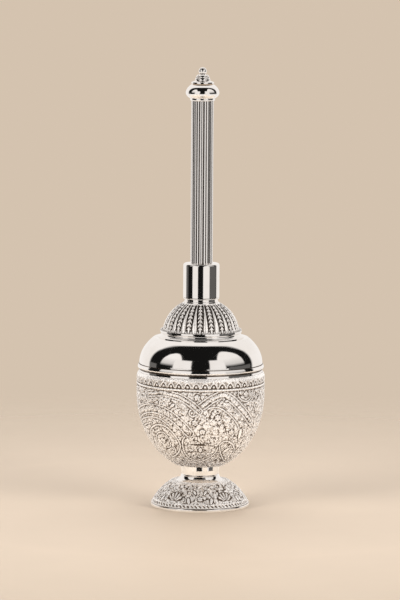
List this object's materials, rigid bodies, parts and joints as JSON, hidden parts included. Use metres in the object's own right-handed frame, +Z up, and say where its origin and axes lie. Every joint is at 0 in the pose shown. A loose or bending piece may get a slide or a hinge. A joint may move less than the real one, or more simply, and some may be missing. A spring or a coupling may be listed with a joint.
{
  "type": "rosewater sprinkler",
  "caption": "Tall metal flask on a bell foot, with an embossed bowl and dome and a long fluted neck that unscrews for filling; a pierced rose at the tip sprinkles the water.",
  "frame": {"origin": "centre of the foot's rim, on the surface it stands on and on the axis", "axes": "+Z up along the axis to the knob, -Y towards the viewer of the picture, +X to that viewer's right"},
  "size_m": [0.0946, 0.0946, 0.324],
  "materials": {
    "polished_silver": "polished",
    "embossed_silver": "embossed, darkened in the hollows",
    "brass": "turned",
    "steel": "plain",
    "seal": "matte"
  },
  "bodies": {
    "body": {"foot": "embossed_silver", "foot_rim_ring": "polished_silver", "stem_ring": "polished_silver", "tie_screw": "steel", "lock_washer": "steel", "flat_washer": "steel", "bowl_boss": "brass", "bowl": "embossed_silver", "girdle_ring": "polished_silver", "shoulder": "polished_silver", "dome_ring": "polished_silver", "dome": "embossed_silver", "dome_collar": "polished_silver", "filler_mouth": "brass"},
    "neck_seal": {"neck_washer": "seal"},
    "neck": {"neck_collar": "polished_silver", "collar_insert": "brass", "neck_tube": "polished_silver", "bulb_ring": "polished_silver", "bulb": "polished_silver", "rose_socket": "brass"},
    "rose_seal": {"rose_washer": "seal"},
    "rose_head": {"rose": "polished_silver", "finial_knob": "polished_silver"}
  },
  "joints": [
    {"name": "neck_lift", "type": "slide", "parent": "body", "child": "neck_seal", "axis": [0, 0, 1], "range_m": [0, 0.009]},
    {"name": "neck_turn", "type": "hinge", "parent": "neck_seal", "child": "neck", "pos_m": [0, 0, 0.1668], "axis": [0, 0, 1], "range_deg": [0, 1080]},
    {"name": "rose_lift", "type": "slide", "parent": "neck", "child": "rose_seal", "axis": [0, 0, 1], "range_m": [0, 0.0045]},
    {"name": "rose_turn", "type": "hinge", "parent": "rose_seal", "child": "rose_head", "pos_m": [0, 0, 0.3113], "axis": [0, 0, 1], "range_deg": [0, 1080]}
  ],
  "couplings": [
    {"joint": "neck_lift", "follows": "neck_turn", "m_per_rad": 0.00047746},
    {"joint": "rose_lift", "follows": "rose_turn", "m_per_rad": 0.00023873}
  ]
}
